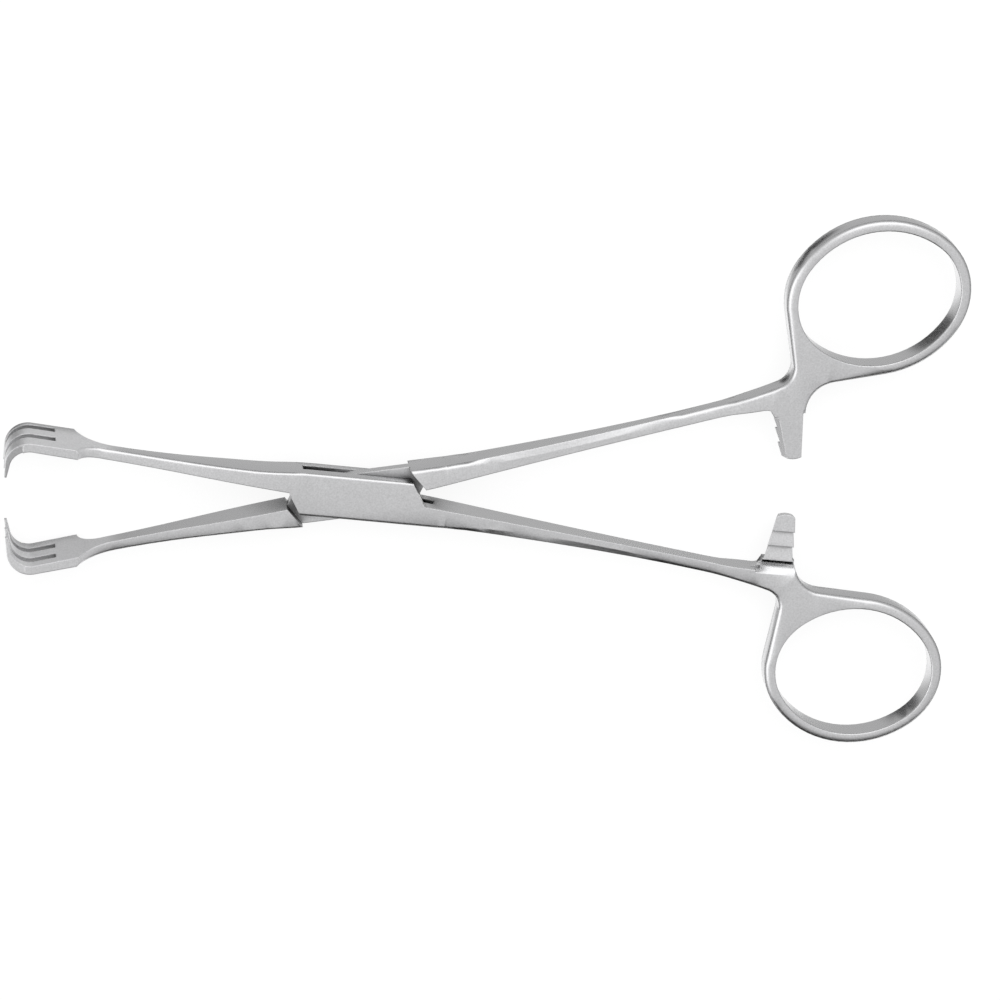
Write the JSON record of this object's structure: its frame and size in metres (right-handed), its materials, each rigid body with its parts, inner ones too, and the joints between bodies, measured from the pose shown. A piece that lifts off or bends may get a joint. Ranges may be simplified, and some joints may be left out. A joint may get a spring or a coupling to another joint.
{
  "type": "traction forceps",
  "caption": "Slender steel tissue forceps with hooked prong jaws, a box lock, finger rings and a ratchet catch.",
  "frame": {"origin": "on the rivet's axis, at the lower face of the box lock", "axes": "+X from the jaws to the finger rings along the middle between the halves, +Y to the ring of the tongue half, +Z along the rivet"},
  "size_m": [0.1554, 0.092, 0.0105],
  "materials": {
    "box_half_steel": "satin",
    "tongue_half_steel": "satin",
    "rivet_steel": "satin"
  },
  "bodies": {
    "box": {"box_half": "box_half_steel", "pivot_rivet": "rivet_steel"},
    "tongue": {"tongue_half": "tongue_half_steel"}
  },
  "joints": [
    {"name": "lock_hinge", "type": "hinge", "parent": "box", "child": "tongue", "pos_m": [0, 0, 0.0028], "axis": [0, 0, 1], "range_deg": [-13.4, 36.5]}
  ]
}
